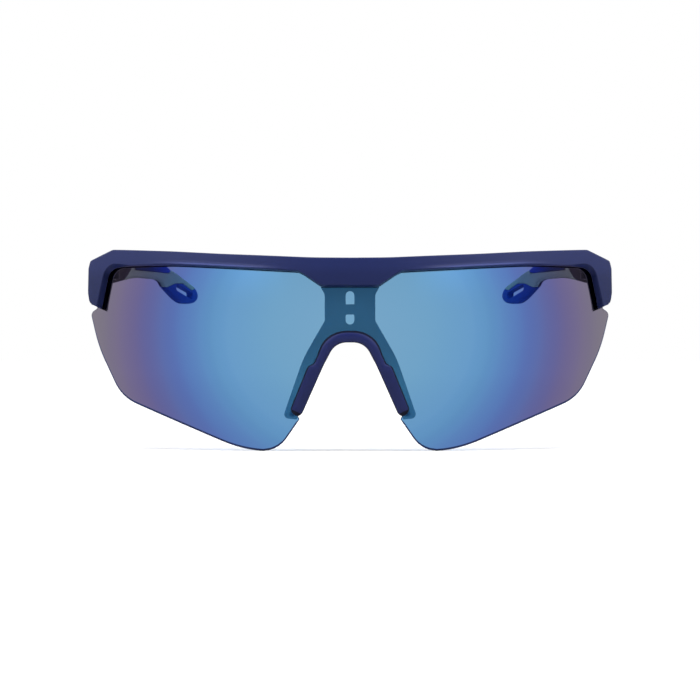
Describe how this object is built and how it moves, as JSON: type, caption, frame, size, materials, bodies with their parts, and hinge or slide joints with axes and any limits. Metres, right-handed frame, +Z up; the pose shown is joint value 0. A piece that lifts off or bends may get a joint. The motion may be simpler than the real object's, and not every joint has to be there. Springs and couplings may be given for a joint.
{
  "type": "wraparound sport sunglasses",
  "caption": "Half-frame wraparound sport sunglasses with a one-piece mirrored shield lens, a nose saddle and folding temples with soft slotted tips.",
  "frame": {"origin": "top of the nose opening, in the middle, level with the foremost point of the lens", "axes": "+X to the wearer's left, +Y back to the ears, +Z up as worn"},
  "size_m": [0.142, 0.1536, 0.0549],
  "materials": {
    "navy_plastic": "matt moulded nylon with a fine grain",
    "mirror_lens": "clear polycarbonate with a blue to violet mirror coat",
    "navy_rubber": "soft matt rubber",
    "grey_plastic": "satin grey moulded plastic",
    "blue_rubber": "soft matt royal-blue rubber",
    "steel": "black-coated steel with fine brushing"
  },
  "bodies": {
    "front": {"brow_frame": "navy_plastic", "shield_lens": "mirror_lens", "bridge_bracket": "navy_plastic", "bridge_screws": "steel", "nose_saddle": "navy_rubber", "left_nose_pad": "navy_rubber", "right_nose_pad": "navy_rubber", "left_frame_leaf": "steel", "right_frame_leaf": "steel", "frame_leaf_rivets": "steel", "left_hinge_screw": "steel", "right_hinge_screw": "steel"},
    "left_temple": {"left_temple_arm": "navy_plastic", "left_temple_liner": "grey_plastic", "left_temple_strip": "blue_rubber", "left_temple_tip": "blue_rubber", "left_temple_leaf": "steel", "left_temple_rivets": "steel"},
    "right_temple": {"right_temple_arm": "navy_plastic", "right_temple_liner": "grey_plastic", "right_temple_strip": "blue_rubber", "right_temple_tip": "blue_rubber", "right_temple_leaf": "steel", "right_temple_rivets": "steel"}
  },
  "joints": [
    {"name": "left_fold", "type": "hinge", "parent": "front", "child": "left_temple", "pos_m": [0.065, 0.04499, 0.02], "axis": [0, 0, 1], "range_deg": [0, 90]},
    {"name": "right_fold", "type": "hinge", "parent": "front", "child": "right_temple", "pos_m": [-0.065, 0.04499, 0.02], "axis": [0, 0, -1], "range_deg": [0, 80]}
  ]
}
